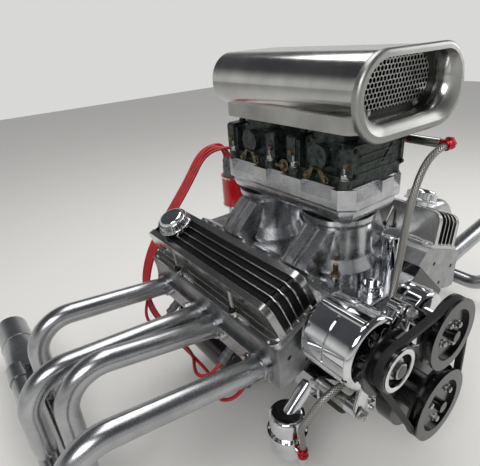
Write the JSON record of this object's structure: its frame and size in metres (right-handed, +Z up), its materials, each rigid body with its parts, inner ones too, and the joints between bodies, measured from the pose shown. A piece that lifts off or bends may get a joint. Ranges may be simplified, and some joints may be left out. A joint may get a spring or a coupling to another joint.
{
  "type": "v8 engine with tunnel ram",
  "caption": "Hot rod V8 engine with tunnel ram intake, inline four barrel carburettors, polished air scoop, finned valve covers, tube headers, magneto and chrome alternator.",
  "frame": {"origin": "crankshaft axis at the block's rear face, midway between the lower bell housing bolts", "axes": "+Z up, the engine's front faces -Y, its left side is +X"},
  "size_m": [1.359, 1.0283, 0.851],
  "materials": {
    "cast_block": "gloss black paint",
    "pan_paint": "gloss black",
    "head_alloy": "as cast",
    "cover_alloy": "black with polished fins",
    "chrome": "bright",
    "intake_alloy": "satin cast",
    "carb_body": "dark chromate",
    "scoop_alloy": "polished",
    "screen_steel": "perforated",
    "magneto_red": "gloss red",
    "cap_plastic": "grey",
    "plug_boots": "grey boots",
    "header_steel": "polished steel",
    "pulley_black": "gloss black",
    "bracket_steel": "plated",
    "crank_steel": "machined",
    "belt_rubber": "matte",
    "starter_paint": "black",
    "mount_paint": "black",
    "log_alloy": "polished",
    "lead_silicone": "red",
    "braid": "braided",
    "fitting_red": "red anodised",
    "sensor_brass": "bright"
  },
  "bodies": {
    "engine": {"block": "cast_block", "oil_pan": "pan_paint", "timing_cover": "pan_paint", "head_right": "head_alloy", "head_left": "head_alloy", "valve_cover_right": "cover_alloy", "valve_cover_left": "cover_alloy", "breather_right": "chrome", "breather_left": "chrome", "alternator": "chrome", "alternator_arm": "chrome", "thermostat_housing": "chrome", "oil_filler": "chrome", "fuel_pump": "chrome", "water_pump": "chrome", "intake_base": "intake_alloy", "plenum": "intake_alloy", "carb_rear": "carb_body", "carb_front": "carb_body", "scoop": "scoop_alloy", "scoop_screen": "screen_steel", "magneto": "magneto_red", "magneto_cap": "cap_plastic", "spark_plugs_right": "plug_boots", "spark_plugs_left": "plug_boots", "header_flange_right": "header_steel", "header_flange_left": "header_steel", "primaries_right": "header_steel", "primaries_left": "header_steel", "collector_right": "header_steel", "collector_left": "header_steel", "alternator_bracket": "bracket_steel", "throttle_linkage": "bracket_steel", "belt": "belt_rubber", "starter": "starter_paint", "oil_filter": "starter_paint", "engine_mount_right": "mount_paint", "engine_mount_left": "mount_paint", "fuel_log": "log_alloy", "plug_lead_right_1": "lead_silicone", "plug_lead_right_2": "lead_silicone", "plug_lead_right_3": "lead_silicone", "plug_lead_right_4": "lead_silicone", "plug_lead_left_1": "lead_silicone", "plug_lead_left_2": "lead_silicone", "plug_lead_left_3": "lead_silicone", "plug_lead_left_4": "lead_silicone", "fuel_line": "braid", "fuel_fitting_upper": "fitting_red", "fuel_fitting_lower": "fitting_red", "temperature_sensor": "sensor_brass"},
    "crank": {"crankshaft": "crank_steel", "flexplate": "crank_steel", "crank_damper": "pulley_black"},
    "water_pump_rotor": {"water_pump_pulley": "pulley_black"},
    "alternator_rotor": {"alternator_pulley": "pulley_black"}
  },
  "joints": [
    {"name": "crank_spin", "type": "hinge", "parent": "engine", "child": "crank", "pos_m": [0, 0, 0], "axis": [0, 1, 0], "continuous": true},
    {"name": "water_pump_spin", "type": "hinge", "parent": "engine", "child": "water_pump_rotor", "pos_m": [0, -0.64, 0.176], "axis": [0, 1, 0], "continuous": true},
    {"name": "alternator_spin", "type": "hinge", "parent": "engine", "child": "alternator_rotor", "pos_m": [-0.168, -0.64, 0.198], "axis": [0, 1, 0], "continuous": true}
  ],
  "couplings": [
    {"joint": "water_pump_spin", "follows": "crank_spin", "ratio": 1.127},
    {"joint": "alternator_spin", "follows": "crank_spin", "ratio": 2.1515}
  ]
}
